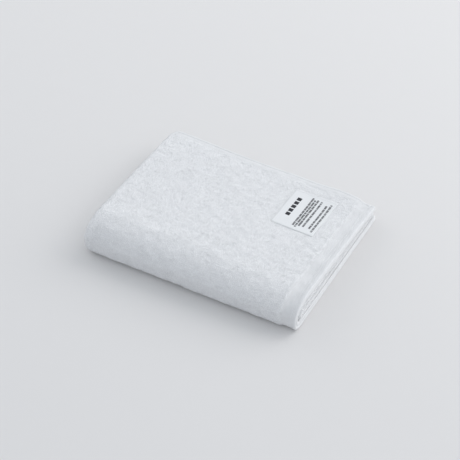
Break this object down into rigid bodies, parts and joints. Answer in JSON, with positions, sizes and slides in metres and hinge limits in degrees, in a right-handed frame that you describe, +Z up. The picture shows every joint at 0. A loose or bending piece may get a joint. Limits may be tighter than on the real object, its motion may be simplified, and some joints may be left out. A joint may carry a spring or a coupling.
{
  "type": "folded face towel",
  "caption": "Small terry towel folded into a flat rectangular stack, plush outside with flat-woven hems, for drying hands and face.",
  "frame": {"origin": "under the middle of the folded towel, on the surface that it lies on", "axes": "+X along the longer side towards the hem end, -Y towards the round front fold, +Z up off the surface"},
  "size_m": [0.2159, 0.1672, 0.0341],
  "materials": {
    "terry_cloth": "matt cotton terry, short looped pile outside, flat-woven hems",
    "label_satin": "smooth woven satin with a slight sheen"
  },
  "bodies": {
    "root": {"towel_cloth": "terry_cloth", "label": "label_satin"}
  },
  "joints": []
}
